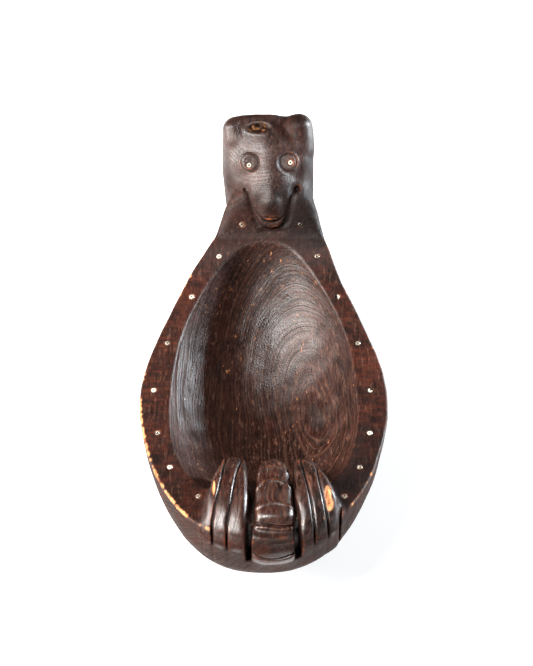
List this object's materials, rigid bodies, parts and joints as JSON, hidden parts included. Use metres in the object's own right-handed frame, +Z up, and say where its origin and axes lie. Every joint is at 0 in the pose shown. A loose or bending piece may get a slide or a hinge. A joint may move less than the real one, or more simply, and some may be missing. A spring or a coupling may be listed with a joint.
{
  "type": "carved wooden effigy bowl",
  "caption": "Pear-shaped carved wooden bowl with an animal head at the narrow end, a ribbed tail and paws hooked over the wide end, and glass ring beads let into its rim.",
  "frame": {"origin": "on the flat base that the bowl stands on, under the middle of its overall length and width", "axes": "+Y from the tail to the head, +Z up out of the hollow, +X to the animal's left as it looks down the bowl (right in a view from the tail)"},
  "size_m": [0.1564, 0.312, 0.1314],
  "materials": {
    "wood": "dark polished wood with worn edges",
    "bead_glass": "opaque white glass, worn"
  },
  "bodies": {
    "root": {"carved_body": "wood", "rim_bead_left_1": "bead_glass", "rim_bead_left_2": "bead_glass", "rim_bead_left_3": "bead_glass", "rim_bead_left_4": "bead_glass", "rim_bead_left_5": "bead_glass", "rim_bead_left_6": "bead_glass", "rim_bead_left_7": "bead_glass", "rim_bead_left_8": "bead_glass", "rim_bead_right_1": "bead_glass", "rim_bead_right_2": "bead_glass", "rim_bead_right_3": "bead_glass", "rim_bead_right_4": "bead_glass", "rim_bead_right_5": "bead_glass", "rim_bead_right_6": "bead_glass", "rim_bead_right_7": "bead_glass", "rim_bead_right_8": "bead_glass", "eye_bead_left": "bead_glass", "eye_bead_right": "bead_glass"}
  },
  "joints": []
}
